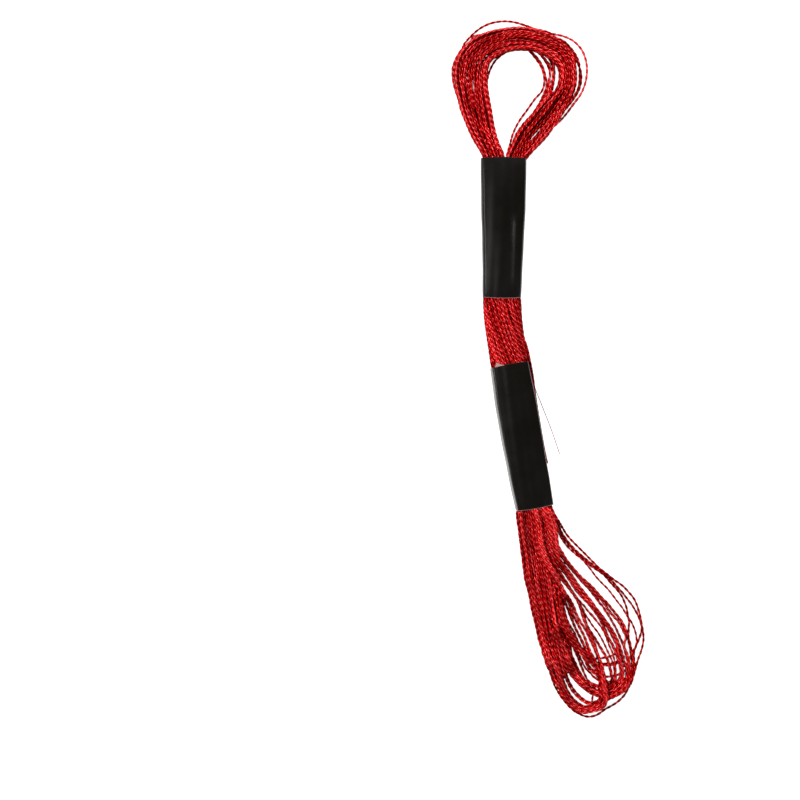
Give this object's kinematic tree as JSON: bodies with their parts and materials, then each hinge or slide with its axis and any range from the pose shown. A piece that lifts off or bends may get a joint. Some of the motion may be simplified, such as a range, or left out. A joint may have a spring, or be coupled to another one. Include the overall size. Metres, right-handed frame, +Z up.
{
  "type": "skein of embroidery floss",
  "caption": "Flat open hank of red metallic embroidery floss held by plain black paper sleeves, with a teardrop upper loop, a fanned lower loop and a loose cut end.",
  "frame": {"origin": "middle of the skein's outline, without its loose end, on the surface that it lies on", "axes": "+Y along the skein from the fanned lower loop to the teardrop upper loop, +Z up from the surface, +X to the right as seen from above"},
  "size_m": [0.0497, 0.1802, 0.0052],
  "materials": {
    "floss": "twisted metallic red floss with fine bright glints",
    "sleeve_paper": "black coated paper, satin to gloss, plain"
  },
  "bodies": {
    "root": {"floss_hank": "floss", "loose_end": "floss", "sleeve_upper": "sleeve_paper", "sleeve_lower": "sleeve_paper"}
  },
  "joints": []
}
